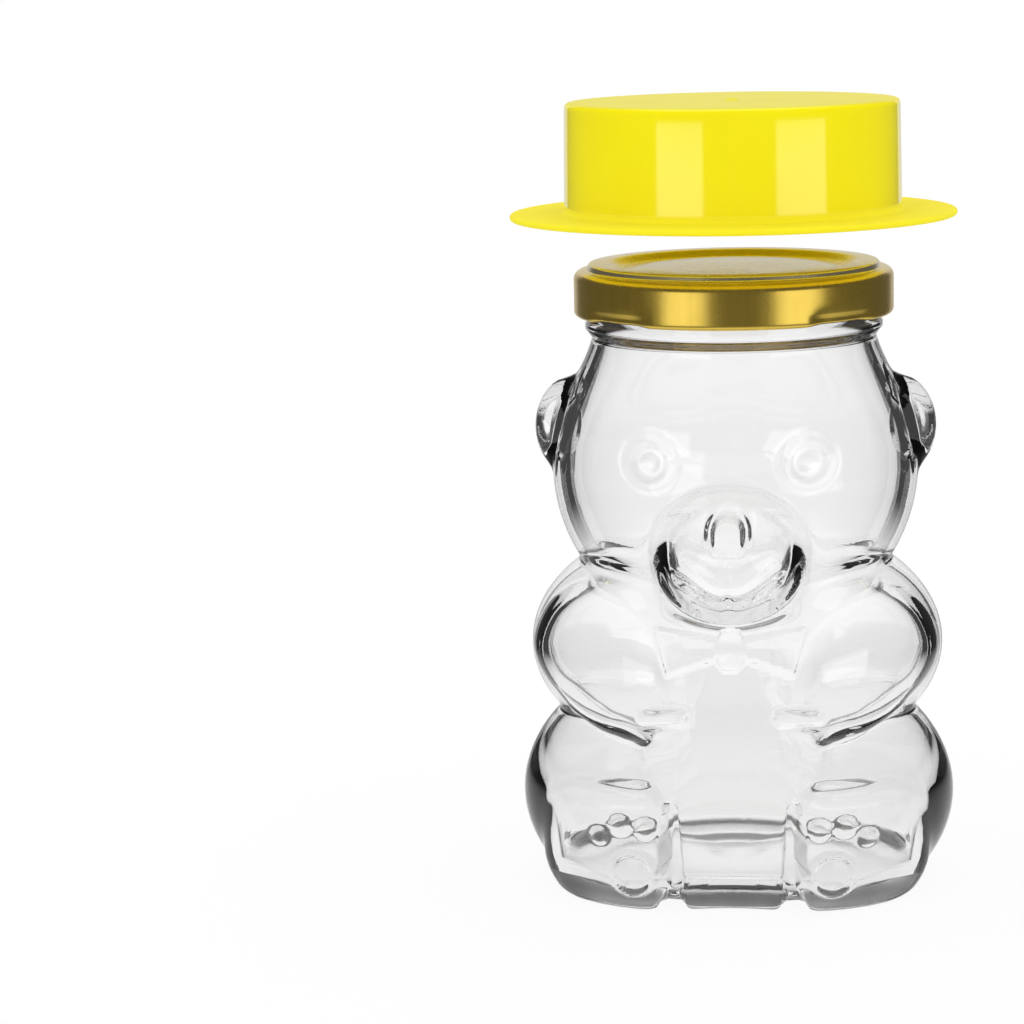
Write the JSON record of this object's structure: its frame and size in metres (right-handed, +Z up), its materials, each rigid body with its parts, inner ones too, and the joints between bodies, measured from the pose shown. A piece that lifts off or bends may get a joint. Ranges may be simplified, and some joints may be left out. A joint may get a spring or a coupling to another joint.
{
  "type": "honey jar",
  "caption": "Clear glass honey jar shaped as a sitting bear, with a gold twist-off metal lid and a yellow slip-on boater hat.",
  "frame": {"origin": "bottom centre, on the neck's axis, on the surface the jar stands on", "axes": "+Z up along the neck's axis, the bear faces -Y, +X to its left side"},
  "size_m": [0.0848, 0.0848, 0.1506],
  "materials": {
    "clear_glass": "clear flint glass, fire polished",
    "gold_tinplate": "tinplate with a gold lacquer, fine rolling lines",
    "sealing_compound": "pale soft plastisol, satin",
    "yellow_plastic": "injection-moulded, glossy crown and satin brim"
  },
  "bodies": {
    "jar": {"glass_jar": "clear_glass"},
    "seal": {"lid_seal": "sealing_compound"},
    "lid": {"lid_shell": "gold_tinplate"},
    "hat": {"hat": "yellow_plastic"}
  },
  "joints": [
    {"name": "lid_lift", "type": "slide", "parent": "jar", "child": "seal", "axis": [0, 0, 1], "range_m": [0, 0.03]},
    {"name": "lid_twist", "type": "hinge", "parent": "seal", "child": "lid", "pos_m": [0, 0, 0.1185], "axis": [0, 0, 1], "range_deg": [-50, 0]},
    {"name": "hat_lift", "type": "slide", "parent": "lid", "child": "hat", "axis": [0, 0, 1], "range_m": [-0.0293, 0.01]}
  ]
}
